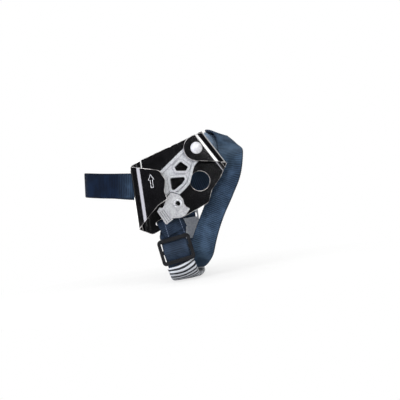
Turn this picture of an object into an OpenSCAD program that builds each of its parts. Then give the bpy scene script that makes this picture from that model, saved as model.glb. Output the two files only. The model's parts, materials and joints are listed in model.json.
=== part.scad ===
// Foot ascender: a rope clamp on a bent plate, worn on a boot with webbing straps.
// Frame: the rope runs along Z through the origin, X points to the toe, Y points to the boot.

/* [Frame plate] */
// Inside radius of the rope channel, half the gap between flap and back plate
channel_r = 6.5; // [6:0.5:7.5]
// Thickness of the bent sheet
plate_t = 3; // [2.5:0.25:3.5]
// Height of the outside of the channel bend above the origin
channel_top = 25; // [22:0.5:27]
// Depth of the outside of the channel bend below the origin
channel_bottom = 24.4; // [22:0.5:26]
// Inside radius of the two bends that fold the hinge ear
fold_in_r = 4; // [3.5:0.5:4.5]
// Tilt of the ear fold from vertical, in degrees
fold_tilt = 29.5; // [27:0.5:32]
// Distance from the cam axle to the outside of the ear fold
fold_reach = 11.5; // [11.25:0.25:13]
// Radius of the ear round the cam axle
ear_r = 10; // [9:0.5:11]
// Radius of the large hole in the back plate
hole_r = 7.75; // [6:0.25:8.5]
// Width of the bar between the strap slot and the plate's lower edge
slot_bar = 4; // [3:0.5:5]

/* [Cam] */
// Height of the cam axle above the origin
axle_z = 31.6; // [31:0.2:33]
// Distance from the cam axle to the tips of the teeth
cam_reach = 37.4; // [36.5:0.1:38.5]
// Clearance from the channel's bore to the teeth at rest
tooth_gap = 0.2; // [0.1:0.1:1]
// Length of one tooth
tooth_len = 1.5; // [1:0.1:1.8]
// Radius of the cam's hub
hub_r = 7; // [6.6:0.1:7.2]
// Radius of the rivet that is the cam's axle
axle_r = 2.8; // [2.4:0.1:3]
// Wall of the sleeve between rivet and cam
bush_wall = 0.85; // [0.7:0.05:1]
// Radius of the rivet's domed head
head_r = 4.6; // [4:0.1:5]
// Thickness of the washer on each side of the cam
washer_t = 1.1; // [0.8:0.1:1.4]
// Depth of the recess in the cam's front face
recess_d = 0.8; // [0.4:0.1:1.2]
// Width of the rim left round the recess
rim_w = 1.7; // [1.2:0.1:2]

/* [Catch] */
// Bore of the catch's tubular pivot, for a release cord
cord_bore_r = 1.8; // [1.5:0.1:1.9]
// Wall of the tubular pivot
tube_wall = 0.5; // [0.4:0.05:0.6]
// Radius of the tubular pivot's rolled flange
flange_r = 3.4; // [3.1:0.1:3.7]
// Thickness of the catch
catch_t = 5; // [4.6:0.1:5.2]
// Number of grooves in the thumb pad
pad_grooves = 3; // [2:1:5]

/* [Webbing] */
// Width of the webbing
web_w = 20; // [18:0.5:21]
// Thickness of the webbing
web_t = 1.6; // [1.2:0.1:1.8]
// Width of the worn boot between the straps
boot_w = 84; // [76:1:96]
// Distance from the rope to the back of the heel strap
heel_reach = 52; // [46:1:60]
// Height of the strap over the instep
instep_z = 42; // [39:1:47]
// Depth of the strap under the arch
arch_z = 67; // [64:1:74]

/* [Slider and buckle] */
// Height of the slider on the sole strap
slider_h = 21; // [20:0.5:23]
// Width of each of the slider's bars
slider_bar = 3.2; // [2.8:0.1:3.4]
// Thickness of the slider
slider_t = 2; // [1.6:0.1:2.2]
// Width of the frame round the webbing, each side
rail_w = 2.6; // [2.4:0.1:3.5]
// Length of the buckle's base
buckle_len = 25; // [23:0.5:28]
// Radius of the buckle's pin
buckle_pin_r = 1.5; // [1.2:0.1:1.7]

/* [Hidden] */
$fn = 64;

play = 0.2;        // side play of the cam and of the catch
fit = 0.05;        // radial clearance of a shaft in its hole
skin = 0.3;        // gap between webbing and what it lies on
groove = 0.5;      // depth of the grooves in the thumb pad
reach = 120;       // longer than the sheet, for cutting bodies
blend = 0.01;      // the fold's radii meet the flats this far in, so that no faces coincide
channel_out = channel_r + plate_t;
fold_out_r = fold_in_r + plate_t;
axle = [channel_r + tooth_gap + cam_reach, axle_z];
fold_dir = [cos(fold_tilt), sin(fold_tilt)];
fold_down = [sin(fold_tilt), -cos(fold_tilt)];
fold_line = axle + fold_reach * fold_dir;
fold_low = 23.4;
fold_high = 7.5;
hole_pos = axle + [-1, -25.3];
bush_r = axle_r + fit + bush_wall;
cam_half = channel_r - washer_t - play;
catch_pivot = axle + [-20.5, -40.3];
tube_r = cord_bore_r + tube_wall;
flange_t = 0.45;
catch_front = -channel_r + play + flange_t;
catch_back = catch_front + catch_t;
tail_front = catch_back + play;

edge_left = [0, -30.3];
edge_right = axle + [3.4, -43.2];
edge_dir = unit(edge_right - edge_left);
edge_down = [edge_dir[1], -edge_dir[0]];
strap_mid = edge_left + 17 * edge_dir;

near_y = channel_out + skin + web_t / 2;
far_y = near_y + boot_w;
mid_y = (near_y + far_y) / 2;
layer = web_t + skin;
slider_pos = [16.6, near_y - 3.4, -44.5];
slider_tilt = 8;
slider_step = (slider_h - slider_bar) / 2;
slider_wave = slider_t / 2 + web_t / 2 + 0.9;
buckle_pos = [25, far_y + 2.4, -28];
buckle_half = web_w / 2 + 1.2;
cheek_t = 1.5;
pin_y = 6.2;

// ---- helpers -------------------------------------------------------------

function unit(v) = v / norm(v);
function flat(p) = [p[0], p[1]];
function wrap(list, i) = list[(i + len(list)) % len(list)];

// Arc of radius r that rounds the corner at b between a and c
function corner(a, b, c, r, steps = 6) =
    let (u = unit(a - b), v = unit(c - b), half = acos(u * v) / 2)
    let (centre = b + unit(u + v) * r / sin(half))
    let (start = b + u * r / tan(half) - centre, stop = b + v * r / tan(half) - centre)
    let (from = atan2(start[1], start[0]), turn = atan2(stop[1], stop[0]) - from)
    let (sweep = turn > 180 ? turn - 360 : turn < -180 ? turn + 360 : turn)
    [for (i = [0 : steps]) centre + r * [cos(from + sweep * i / steps), sin(from + sweep * i / steps)]];

// Outline of [x, z, radius] points with its corners rounded
function rounded(points) = [
    for (i = [0 : len(points) - 1])
        each points[i][2] == 0
            ? [flat(points[i])]
            : corner(flat(wrap(points, i - 1)), flat(points[i]), flat(wrap(points, i + 1)),
                     points[i][2])
];

// The same outline moved inwards by d; the points run anticlockwise
function inset(points, d) = [
    for (i = [0 : len(points) - 1])
        let (before = unit(flat(points[i]) - flat(wrap(points, i - 1))))
        let (after = unit(flat(wrap(points, i + 1)) - flat(points[i])))
        let (n1 = [-before[1], before[0]], n2 = [-after[1], after[0]])
        let (p = flat(points[i]) + (n1 + n2) * d / (1 + n1 * n2))
        [p[0], p[1], max(points[i][2] - d / 2, 0.3)]
];

// A flat shape drawn in X and Z, made solid from y0 to y1
module slab(y0, y1) {
    translate([0, y1, 0]) rotate([90, 0, 0]) linear_extrude(y1 - y0) children();
}

// A cylinder along Y at a point in X and Z
module shaft(pos, r, y0, y1) {
    slab(y0, y1) translate(pos) circle(r = r);
}

// Smooth curve through hand-chosen points
function between(p0, p1, p2, p3, t) =
    0.5 * (2 * p1 + (p2 - p0) * t + (2 * p0 - 5 * p1 + 4 * p2 - p3) * t * t
           + (3 * p1 - p0 - 3 * p2 + p3) * t * t * t);
function curve(list, closed, steps = 6) =
    let (n = len(list), last = closed ? n - 1 : n - 2)
    [for (i = [0 : last]) for (j = [0 : steps - 1])
        closed
            ? between(wrap(list, i - 1), list[i], wrap(list, i + 1), wrap(list, i + 2), j / steps)
            : between(list[max(i - 1, 0)], list[i], list[i + 1], list[min(i + 2, n - 1)], j / steps),
     if (!closed) list[n - 1]];

// Solid through a row of rings, each with the same number of corners
module skinned(rings, closed = false) {
    n = len(rings[0]);
    count = len(rings);
    joints = closed ? count : count - 1;
    sides = [for (i = [0 : joints - 1]) for (j = [0 : n - 1])
        let (a = i * n + j, b = i * n + (j + 1) % n)
        let (c = ((i + 1) % count) * n + (j + 1) % n, d = ((i + 1) % count) * n + j)
        each [[a, c, b], [a, d, c]]];
    caps = closed ? [] : [[for (j = [0 : n - 1]) j], [for (j = [n - 1 : -1 : 0]) (count - 1) * n + j]];
    polyhedron([for (ring = rings) each ring], concat(sides, caps), convexity = 6);
}

// Cross sections of webbing along a route of [point, direction across]
function strap_rings(route, width, thick, closed = false) =
    let (centres = curve([for (stop = route) stop[0]], closed))
    let (acrosses = curve([for (stop = route) stop[1]], closed), n = len(centres))
    [for (i = [0 : n - 1])
        let (ahead = closed ? wrap(centres, i + 1) : centres[min(i + 1, n - 1)])
        let (behind = closed ? wrap(centres, i - 1) : centres[max(i - 1, 0)])
        let (along = unit(ahead - behind), out = unit(cross(along, acrosses[i])))
        let (wide = cross(out, along) * width / 2, deep = out * thick / 2)
        let (low = centres[i] - deep, high = centres[i] + deep)
        [low - wide, low + wide, high + wide, high - wide]];

module ribbon(route, closed = false) {
    skinned(strap_rings(route, web_w, web_t, closed), closed);
}

// Torsion spring: a helix along Y round a point in X and Z
module coil(pos, mean_r, wire_r, turns, y0, y1) {
    steps = 20;
    rise = (y1 - y0 - 2 * wire_r) / (turns * steps);
    rings = [for (i = [0 : turns * steps])
        let (a = 360 * i / steps, radial = [cos(a), 0, sin(a)])
        let (centre = [pos[0], y0 + wire_r + rise * i, pos[1]] + mean_r * radial)
        [for (j = [0 : 7]) centre + wire_r * (radial * cos(45 * j) + [0, sin(45 * j), 0])]];
    skinned(rings);
}

// ---- frame plate ----------------------------------------------------------

// Block with the channel's bend on its left and the ear's fold on its right
module bent_block(half, fold_r, fold_x) {
    intersection() {
        translate([0, 0, -reach]) linear_extrude(2 * reach) {
            circle(r = half);
            translate([0, -half]) square([reach, 2 * half]);
        }
        translate([fold_line[0], 0, fold_line[1]]) rotate([0, -fold_tilt, 0])
            translate([fold_x, 0, -reach]) linear_extrude(2 * reach) fold_end(fold_r, half + blend);
    }
}

module fold_end(r, half) {
    translate([-reach, -half]) square([reach - r, 2 * half]);
    translate([-r, -(half - r)]) square([r, 2 * (half - r)]);
    for (side = [-1, 1]) translate([-r, side * (half - r)]) circle(r = r);
}

// The sheet before its edges are cut
module bent_sheet() {
    difference() {
        bent_block(channel_out, fold_out_r, 0);
        bent_block(channel_r, fold_in_r, -plate_t);
    }
}

module flap_outline() {
    left = -channel_out - 1;
    polygon(rounded([
        [left, channel_top, 0], [-channel_out, channel_top, 0], [13, 18.8, 4], [16.8, 11, 4],
        [14.7, 2, 6], [16.2, -4.2, 1.2], [8.4, -8, 8], [-channel_out, -channel_bottom, 0],
        [left, -channel_bottom, 0]]));
}

module ear_outline() {
    translate(axle) circle(r = ear_r);
    low = axle + ear_r * [-sin(9.5), -cos(9.5)];
    high = axle + ear_r * [-0.26, 0.966];
    outside = fold_line + fold_dir;
    polygon([low, outside + fold_low * fold_down, outside - (fold_high - 1) * fold_down, high]);
}

module back_outline() {
    left = -channel_out - 1;
    outside = fold_line + fold_dir;
    polygon(rounded([
        [left, channel_top, 0], [left, -channel_bottom, 0], [-channel_out, -channel_bottom, 0],
        [edge_left[0], edge_left[1], 3], [edge_right[0], edge_right[1], 4],
        [axle[0] + 7.5, axle[1] - 33.5, 5], [axle[0] + 15, axle[1] - 25.5, 0],
        [outside[0] + fold_low * fold_down[0], outside[1] + fold_low * fold_down[1], 0],
        [outside[0] - fold_high * fold_down[0], outside[1] - fold_high * fold_down[1], 0],
        [axle[0] + 5.7, axle[1] + 12.8, 1.5], [0, axle[1] - 2, 6], [-channel_out, channel_top, 0]]));
}

module slot_outline() {
    middle = strap_mid - (slot_bar + 1.6) * edge_down;
    translate(middle) rotate(atan2(edge_dir[1], edge_dir[0])) {
        square([web_w - 1.8, 3.2], center = true);
        for (side = [-1, 1]) translate([side * (web_w / 2 - 0.9), 0]) circle(r = 1.6);
    }
}

module frame_plate() {
    color("#1b1c20") difference() {
        intersection() {
            bent_sheet();
            union() {
                slab(-channel_out - 1, 0) flap_outline();
                slab(-channel_out - 1, 0) ear_outline();
                slab(0, channel_out + 1) back_outline();
            }
        }
        slab(channel_r - 1, channel_out + 1) slot_outline();
        shaft(hole_pos, hole_r, channel_r - 1, channel_out + 1);
        shaft(axle, axle_r, -channel_out - 1, channel_out + 1);
    }
}

// ---- cam axle --------------------------------------------------------------

module cam_axle() {
    dome_r = 7.5;
    dome_drop = sqrt(dome_r * dome_r - head_r * head_r);
    color("#d8dade") {
        shaft(axle, axle_r, -channel_out, channel_out);
        shaft(axle, head_r, -channel_out - 0.5, -channel_out);
        shaft(axle, head_r - 0.2, channel_out, channel_out + 0.9);
        intersection() {
            translate([axle[0], dome_drop - channel_out - 0.5, axle[1]]) sphere(r = dome_r);
            shaft(axle, head_r, -channel_out - 4, -channel_out - 0.5);
        }
    }
}

module axle_washer(y0) {
    color("#b9bcc0") difference() {
        shaft(axle, axle_r + 1.6, y0, y0 + washer_t);
        shaft(axle, axle_r + fit, y0 - 1, y0 + washer_t + 1);
    }
}

module axle_washer_front() {
    axle_washer(-channel_r);
}

module axle_washer_rear() {
    axle_washer(channel_r - washer_t);
}

// ---- cam -------------------------------------------------------------------

// Outlines of the cam, from the axle
face_x = tooth_len - cam_reach;
cam_points = [
    [-4.2, 5.6, 0], [-33.6, -15.9, 2.5], [face_x, -18.9, 1.5], [face_x, -34, 2], [-33.5, -36.6, 1.2],
    [-30.7, -36, 1.2], [-24.4, -40.6, 0], [-16.7, -39.6, 0], [-18.7, -33.6, 1.2], [-14.1, -30.6, 3],
    [-9.1, -26.4, 4], [-6.4, -19.5, 5], [-3.9, -13.6, 4], [-0.4, -10.3, 3], [5, -4.9, 0], [0, 0, 0]];
panel_points = [
    [-7, 0.6, 1], [-33, -18.4, 2], [face_x + 2.2, -21, 1], [face_x + 2.2, -33.6, 1], [-31.5, -34.4, 1],
    [-27, -31.5, 1], [-23.8, -30, 1.5], [-19, -32, 1], [-15, -29, 3], [-10.6, -25.3, 3], [-8.2, -19.3, 4],
    [-5.8, -13, 3], [-3.4, -8.5, 2]];
upper_hole = [
    [-13.8, -8.3, 1.2], [-19.1, -12.2, 1.2], [-18.1, -15.2, 1.2], [-10.8, -16.2, 1.2], [-8.3, -13.3, 1.2]];
lower_hole = [
    [-23.8, -19.9, 1.4], [-24, -29.7, 1.6], [-21.1, -29.4, 1.6], [-15.2, -25.8, 2], [-12.3, -22.6, 1.4],
    [-12.7, -20.6, 0.8]];

// Space in front of the cam's tail, in which the catch turns
room_points = [[-18.2, -33.3], [-24.4, -30.4], [-36, -30.4], [-36, -56], [-5, -56], [-5, -33.3]];

module catch_room() {
    intersection() {
        translate(catch_pivot) circle(r = 10.5);
        translate(axle) polygon(room_points);
    }
}

module teeth() {
    rows = 7;
    row_step = 2.05;
    for (i = [0 : rows - 1]) for (y = [-3.6, -1.2, 1.2, 3.6])
        translate([axle[0] + face_x, y, axle[1] - 20.3 - i * row_step]) rotate([0, -90, 0])
            cylinder(r1 = 0.95, r2 = 0.15, h = tooth_len, $fn = 16);
}

module cam() {
    color("#c9ccd0") {
        difference() {
            slab(-cam_half, cam_half) union() {
                translate(axle) circle(r = hub_r);
                translate(axle) polygon(rounded(cam_points));
                translate(catch_pivot) circle(r = tube_r + 1.6);
            }
            slab(-cam_half - 1, cam_half + 1) translate(axle) {
                polygon(rounded(upper_hole));
                polygon(rounded(lower_hole));
            }
            slab(-cam_half - 1, -cam_half + recess_d) translate(axle) difference() {
                polygon(rounded(panel_points));
                polygon(rounded(inset(upper_hole, -rim_w)));
                polygon(rounded(inset(lower_hole, -rim_w)));
                circle(r = hub_r + rim_w / 2);
            }
            slab(-cam_half - 1, tail_front) catch_room();
            shaft(axle, bush_r, -cam_half - 1, cam_half + 1);
            shaft(axle, bush_r + 2.3, cam_half - 3.4, cam_half + 1);
            shaft(catch_pivot, tube_r + fit, -cam_half - 1, cam_half + 1);
        }
        teeth();
    }
}

module cam_bush() {
    color("#b08d4c") difference() {
        shaft(axle, bush_r, -cam_half, cam_half);
        shaft(axle, axle_r + fit, -cam_half - 1, cam_half + 1);
    }
}

module cam_spring() {
    color("#9aa0a6") coil(axle, bush_r + 1.2, 0.45, 2.25, cam_half - 3.35, cam_half - 0.1);
}

// ---- catch -----------------------------------------------------------------

// Outlines of the catch, from its pivot
catch_points = [
    [-4.1, 9.3, 0.8], [-8.3, 5.3, 1], [-10.7, 0.1, 1], [-12.6, -2, 0.5], [-14.6, -0.9, 0.8],
    [-16.8, -3.9, 1], [-11.3, -15.5, 1], [-6.2, -10.7, 0.6], [0.6, -11.3, 4], [4.8, -9.7, 2],
    [8.6, -5.3, 0.6], [6, -3.5, 1.2], [4.6, -1, 1.5], [4.4, 2.6, 1], [1.8, 6.5, 1]];
pad_corner = [-16.6, -4.4];
pad_along = unit([5.3, -11]);
pad_across = [-pad_along[1], pad_along[0]];

module catch() {
    pad_len = 12.2;
    pad_width = 6.6;
    groove_step = pad_width / (pad_grooves + 1);
    color("#d3d6d9") difference() {
        union() {
            slab(catch_front, catch_back) translate(catch_pivot) polygon(rounded(catch_points));
            slab(catch_front, catch_back + 1.4) translate(catch_pivot + pad_corner)
                polygon([[0, 0], 11.6 * pad_along + 1.2 * pad_across,
                         0.94 * pad_len * pad_along + pad_width * pad_across,
                         0.9 * pad_width * pad_across]);
        }
        shaft(catch_pivot, tube_r + fit, catch_front - 1, catch_back + 2);
        shaft(catch_pivot, tube_r + 1.2, catch_back - 2.3, catch_back + 2);
        for (i = [1 : pad_grooves]) slab(catch_front - 1, catch_front + groove)
            translate(catch_pivot + pad_corner + i * groove_step * pad_across)
                rotate(atan2(pad_along[1], pad_along[0])) translate([1, -0.35])
                    square([pad_len - 2.6, 0.7]);
    }
}

module catch_pin() {
    tail_back = cam_half;
    color("#e3e5e7") difference() {
        union() {
            shaft(catch_pivot, tube_r, catch_front, tail_back);
            shaft(catch_pivot, flange_r, catch_front - flange_t, catch_front);
            shaft(catch_pivot, flange_r, tail_back, tail_back + flange_t);
        }
        shaft(catch_pivot, cord_bore_r, catch_front - 2, tail_back + 2);
    }
}

module catch_spring() {
    color("#9aa0a6") coil(catch_pivot, tube_r + 0.65, 0.3, 2, catch_back - 2.2, catch_back - 0.1);
}

// ---- harness ---------------------------------------------------------------

slope_across = [edge_dir[0], 0, edge_dir[1]];

// Ring round the boot: behind the plate, over the instep, back along the far side, round the heel
ankle_route = [
    [[-14, near_y + 1.2, 10.8], [0.1, 0, 1]],
    [[0, near_y + 0.1, 8.8], [0.1, 0, 1]],
    [[14, near_y + 0.1, 6.8], [0.06, 0, 1]],
    [[28, near_y + 0.1, 6.2], [-0.06, 0, 1]],
    [[axle[0] - 2, near_y + 2.2, 8.4], [-0.25, -0.15, 1]],
    [[axle[0] + 8.5, near_y + 7.3, 14.5], [-0.6, -0.35, 0.8]],
    [[axle[0] + 15.5, near_y + 15, 26], [-0.75, -0.1, 0.6]],
    [[axle[0] + 17, near_y + 27, 36.5], [-0.78, 0, 0.62]],
    [[axle[0] + 17.5, mid_y, instep_z], [-0.9, 0, 0.43]],
    [[axle[0] + 17, far_y - 25, 36.5], [-0.75, 0, 0.65]],
    [[axle[0] + 17, far_y - 10, 27], [-0.75, -0.1, 0.6]],
    [[axle[0] + 11, far_y - 1.5, 15.5], [-0.6, 0, 0.8]],
    [[axle[0] - 4, far_y, 8.2], [-0.25, 0, 1]],
    [[20, far_y, 6], [0, 0, 1]],
    [[-10, far_y - 0.5, 9], [0.08, 0, 1]],
    [[-32, far_y - 9, 13.5], [0.1, 0, 1]],
    [[-heel_reach + 4.5, mid_y + 18, 16.5], [0.1, 0, 1]],
    [[-heel_reach + web_t / 2, mid_y, 17.5], [0.1, 0, 1]],
    [[-heel_reach + 4.5, mid_y - 18, 16.5], [0.1, 0, 1]],
    [[-32, near_y + 9, 13.5], [0.1, 0, 1]]];

module ankle_strap() {
    color("#2b3648") ribbon(ankle_route, closed = true);
}

// From the far side over the instep, down past the plate and under the arch
cross_route = [
    [[axle[0] - 2, far_y + layer, 9.5], [-0.35, 0, 1]],
    [[axle[0] + 13, far_y + layer, 15.5], [-0.6, 0, 0.8]],
    [[axle[0] + 21.5, far_y - 8, 27], [-0.75, -0.1, 0.6]],
    [[axle[0] + 23.5, far_y - 25, 37.5], [-0.8, 0, 0.6]],
    [[axle[0] + 18.6, mid_y, instep_z + layer + 0.3], [-0.91, 0, 0.4]],
    [[axle[0] + 24, near_y + 25, 38.5], [-0.8, 0, 0.6]],
    [[axle[0] + 26.6, near_y + 6.5, 24.5], [-0.72, 0.45, 0.4]],
    [[axle[0] + 22.8, near_y + 2, 10.2], [-0.87, 0.32, 0.3]],
    [[axle[0] + 15.2, near_y + 1.8, -3.5], [-0.82, 0.32, 0.43]],
    [[axle[0] + 7.3, near_y + 2.5, -17.5], [-0.76, 0.5, 0.42]],
    [[axle[0] + 0.3, near_y + 3, -30.5], [-0.78, 0.45, 0.42]],
    [[axle[0] - 4.6, near_y + 4.4, -41], [-0.85, 0.3, 0.42]],
    [[axle[0] - 8.5, near_y + 8.5, 17 - arch_z], [-0.95, 0, 0.3]],
    [[axle[0] - 13, near_y + 19, 9.5 - arch_z], [-0.98, 0, 0.1]],
    [[axle[0] - 17, near_y + 32, 4.6 - arch_z], [-1, 0, 0]],
    [[axle[0] - 18.5, mid_y + 4, 3.6 - arch_z], [-1, 0, 0]]];

module cross_strap() {
    color("#33415a") ribbon(cross_route);
}

// A point by its distance below the plate's lower edge, on the sole strap's line
function below_edge(drop, y) =
    [strap_mid[0] + drop * edge_down[0], y, strap_mid[1] + drop * edge_down[1]];

// A point in the slider's own frame: s runs down from its middle, n towards the viewer
function on_slider(s, n) =
    slider_pos + [s * sin(slider_tilt), -n, -s * cos(slider_tilt)];

slider_across = [cos(slider_tilt), 0, sin(slider_tilt)];
sole_low = -arch_z;
slider_back = slider_pos[1] + slider_wave;

sole_route = [
    [below_edge(-42, near_y + layer + 1.1), slope_across],
    [below_edge(-30, near_y + layer + 0.7), slope_across],
    [below_edge(-12, near_y + layer), slope_across],
    [below_edge(-3, near_y + layer), slope_across],
    [below_edge(3, near_y + layer - 0.5), slope_across],
    for (i = [-5 : 5])
        [on_slider(i * slider_step / 4, slider_wave * (abs(i) > 4 ? -1.25 : cos(45 * i))), slider_across],
    [[19.3, slider_back + 0.3, -60], [0.98, 0, 0.2]],
    [[20.2, slider_back + 2.6, sole_low + 3.2], [0.98, 0, 0.15]],
    [[21.2, slider_back + 7.5, sole_low + 0.6], [1, 0, 0.08]],
    [[22.5, slider_back + 14.5, sole_low], [1, 0, 0]],
    [[25, mid_y, sole_low], [1, 0, 0]],
    [[25, buckle_pos[1] - 14, sole_low], [1, 0, 0]],
    [[25, buckle_pos[1] - 4, sole_low + 3], [1, 0, 0]],
    [[25, buckle_pos[1], sole_low + 12], [1, 0, 0]],
    [[25, buckle_pos[1], buckle_pos[2] - 14], [1, 0, 0]],
    [[25, buckle_pos[1], buckle_pos[2] + 1], [1, 0, 0]],
    [[25, buckle_pos[1] + 3.2, buckle_pos[2] + 8.5], [1, 0, 0]],
    [[25, buckle_pos[1] + 4.4, buckle_pos[2] + 15], [1, 0, 0]],
    [[25, buckle_pos[1] + 4.4, buckle_pos[2] + 26], [1, 0, 0]],
    [[25, buckle_pos[1] + 4.4, buckle_pos[2] + 50], [1, 0, 0]]];
sleeve_first = 15;
sleeve_last = 21;

module sole_strap() {
    color("#202a3a") ribbon(sole_route);
}

module slot_loop() {
    turn_r = plate_t / 2 + skin + web_t / 2;
    turn_drop = -slot_bar + 0.9;
    middle = channel_r + plate_t / 2;
    color("#222d3f") ribbon([
        [below_edge(7, slider_back - layer - 0.2), slope_across],
        [below_edge(3.5, slider_back - layer - 1.6), slope_across],
        for (i = [-1 : 5]) let (a = 45 * i)
            [below_edge(turn_drop - turn_r * sin(max(min(a, 180), 0)) + (i < 0 || i > 4 ? 2.6 : 0),
                        middle - turn_r * cos(max(min(a, 180), 0))), slope_across]]);
}

module wear_sleeve() {
    steps = 6;
    outer = strap_rings(sole_route, web_w + 2.6, web_t + 2.4);
    inner = strap_rings(sole_route, web_w + 0.6, web_t + 0.5);
    first = sleeve_first * steps + 3;
    last = sleeve_last * steps;
    color("#c8ccd2") skinned(concat([for (i = [first : last]) outer[i]],
                                    [for (i = [last : -1 : first]) inner[i]]), closed = true);
}

module sole_slider() {
    width = web_w + 2 * rail_w + 1.4;
    window_h = slider_step - slider_bar;
    color("#15171c") translate(slider_pos) rotate([0, -slider_tilt, 0]) rotate([90, 0, 0])
        translate([0, 0, -slider_t / 2]) linear_extrude(slider_t) difference() {
            polygon(rounded([[-width / 2, -slider_h / 2, 3], [width / 2, -slider_h / 2, 3],
                             [width / 2, slider_h / 2, 3], [-width / 2, slider_h / 2, 3]]));
            for (side = [-1, 1]) translate([0, side * slider_step / 2])
                square([web_w + 1.4, window_h], center = true);
        }
}

// ---- buckle on the far side ---------------------------------------------------

module buckle_frame() {
    base_y = -web_t / 2 - skin;
    color("#8f9498") translate(buckle_pos) difference() {
        union() {
            translate([-buckle_half, base_y - cheek_t, -buckle_len / 2])
                cube([2 * buckle_half, cheek_t, buckle_len - 7]);
            for (side = [-1, 1]) translate([side * (buckle_half + cheek_t / 2), 0, 0]) {
                translate([-cheek_t / 2, base_y - cheek_t, -buckle_len / 2])
                    cube([cheek_t, pin_y + 3.6 - base_y, buckle_len - 5]);
                translate([-cheek_t / 2, base_y - cheek_t, buckle_len / 2 - 6])
                    cube([cheek_t, 5, 6]);
            }
            translate([-buckle_half - cheek_t / 2, base_y - cheek_t / 2, buckle_len / 2 - 2])
                rotate([0, 90, 0]) cylinder(r = 1.4, h = 2 * buckle_half + cheek_t);
        }
        translate([-buckle_half - 3, pin_y, 0]) rotate([0, 90, 0])
            cylinder(r = buckle_pin_r, h = 2 * buckle_half + 6);
    }
}

module buckle_pin() {
    color("#c4c8cc") translate(buckle_pos + [0, pin_y, 0]) rotate([0, 90, 0]) {
        translate([0, 0, -buckle_half - cheek_t])
            cylinder(r = buckle_pin_r, h = 2 * (buckle_half + cheek_t));
        for (side = [-1, 1]) translate([0, 0, side * (buckle_half + cheek_t + 0.4) - 0.4])
            cylinder(r = buckle_pin_r + 0.8, h = 0.8);
    }
}

module buckle_lever() {
    lobe_r = pin_y - web_t / 2 - skin;
    lever_w = web_w + 1;
    color("#24272c") translate(buckle_pos + [0, pin_y, 0]) difference() {
        union() {
            rotate([0, 90, 0]) cylinder(r = 3.4, h = lever_w, center = true);
            translate([-lever_w / 2, -lobe_r + 1, -2]) cube([lever_w, lobe_r - 1, 4]);
            translate([0, -lobe_r + 1.4, 0]) rotate([0, 90, 0])
                cylinder(r = 1.4, h = lever_w, center = true);
            translate([-lever_w / 2, 0.4, -20]) cube([lever_w, 3, 20]);
            translate([0, 1.9, -20]) rotate([0, 90, 0]) cylinder(r = 1.5, h = lever_w, center = true);
        }
        rotate([0, 90, 0]) cylinder(r = buckle_pin_r + fit, h = lever_w + 2, center = true);
        translate([-3.2, -2.9, -2.9]) cube([6.4, 5.8, 5.8]);
    }
}

module buckle_spring() {
    color("#9aa0a6") translate(buckle_pos + [0, pin_y, 0]) rotate([0, 0, 90])
        coil([0, 0], buckle_pin_r + 0.7, 0.35, 4, -2.8, 2.8);
}

module buckle_tab() {
    bar = [buckle_pos[0], buckle_pos[1] - web_t / 2 - skin - cheek_t / 2,
           buckle_pos[2] + buckle_len / 2 - 2];
    turn_r = 1.4 + skin + web_t / 2;
    color("#222d3f") ribbon([
        [[bar[0], far_y - layer, 14], [1, 0, 0]],
        [[bar[0], far_y - layer, 2], [1, 0, 0]],
        [[bar[0], far_y - layer, -8], [1, 0, 0]],
        for (a = [180 : 45 : 360]) [bar + turn_r * [0, cos(a), sin(a)], [1, 0, 0]],
        [[bar[0], far_y + layer + 0.4, -8], [1, 0, 0]],
        [[bar[0], far_y + layer, 0], [1, 0, 0]],
        [[bar[0], far_y + layer, 12], [1, 0, 0]]]);
}

module tail_keeper() {
    at = [buckle_pos[0], buckle_pos[1] + 4.4, buckle_pos[2] + 36];
    wide = web_w + 1.2;
    wall = 1.2;
    color("#15171c") translate(at) linear_extrude(8) difference() {
        square([wide + 2 * wall, 2.4 + 2 * wall], center = true);
        square([wide, 2.4], center = true);
    }
}

frame_plate();
cam_axle();
axle_washer_front();
axle_washer_rear();
cam();
cam_bush();
cam_spring();
catch();
catch_pin();
catch_spring();
ankle_strap();
cross_strap();
sole_strap();
slot_loop();
wear_sleeve();
sole_slider();
buckle_frame();
buckle_lever();
buckle_pin();
buckle_spring();
buckle_tab();
tail_keeper();
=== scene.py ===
# Foot ascender: the finish of every surface, the webbing, the light and the camera.
# Metres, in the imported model's frame: the rope runs along Z through the origin,
# X points to the toe and Y from the plate to the boot.
import json
import math

import bpy
import numpy as np
from mathutils import Matrix, Quaternion, Vector, noise
from mathutils.bvhtree import BVHTree

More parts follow.
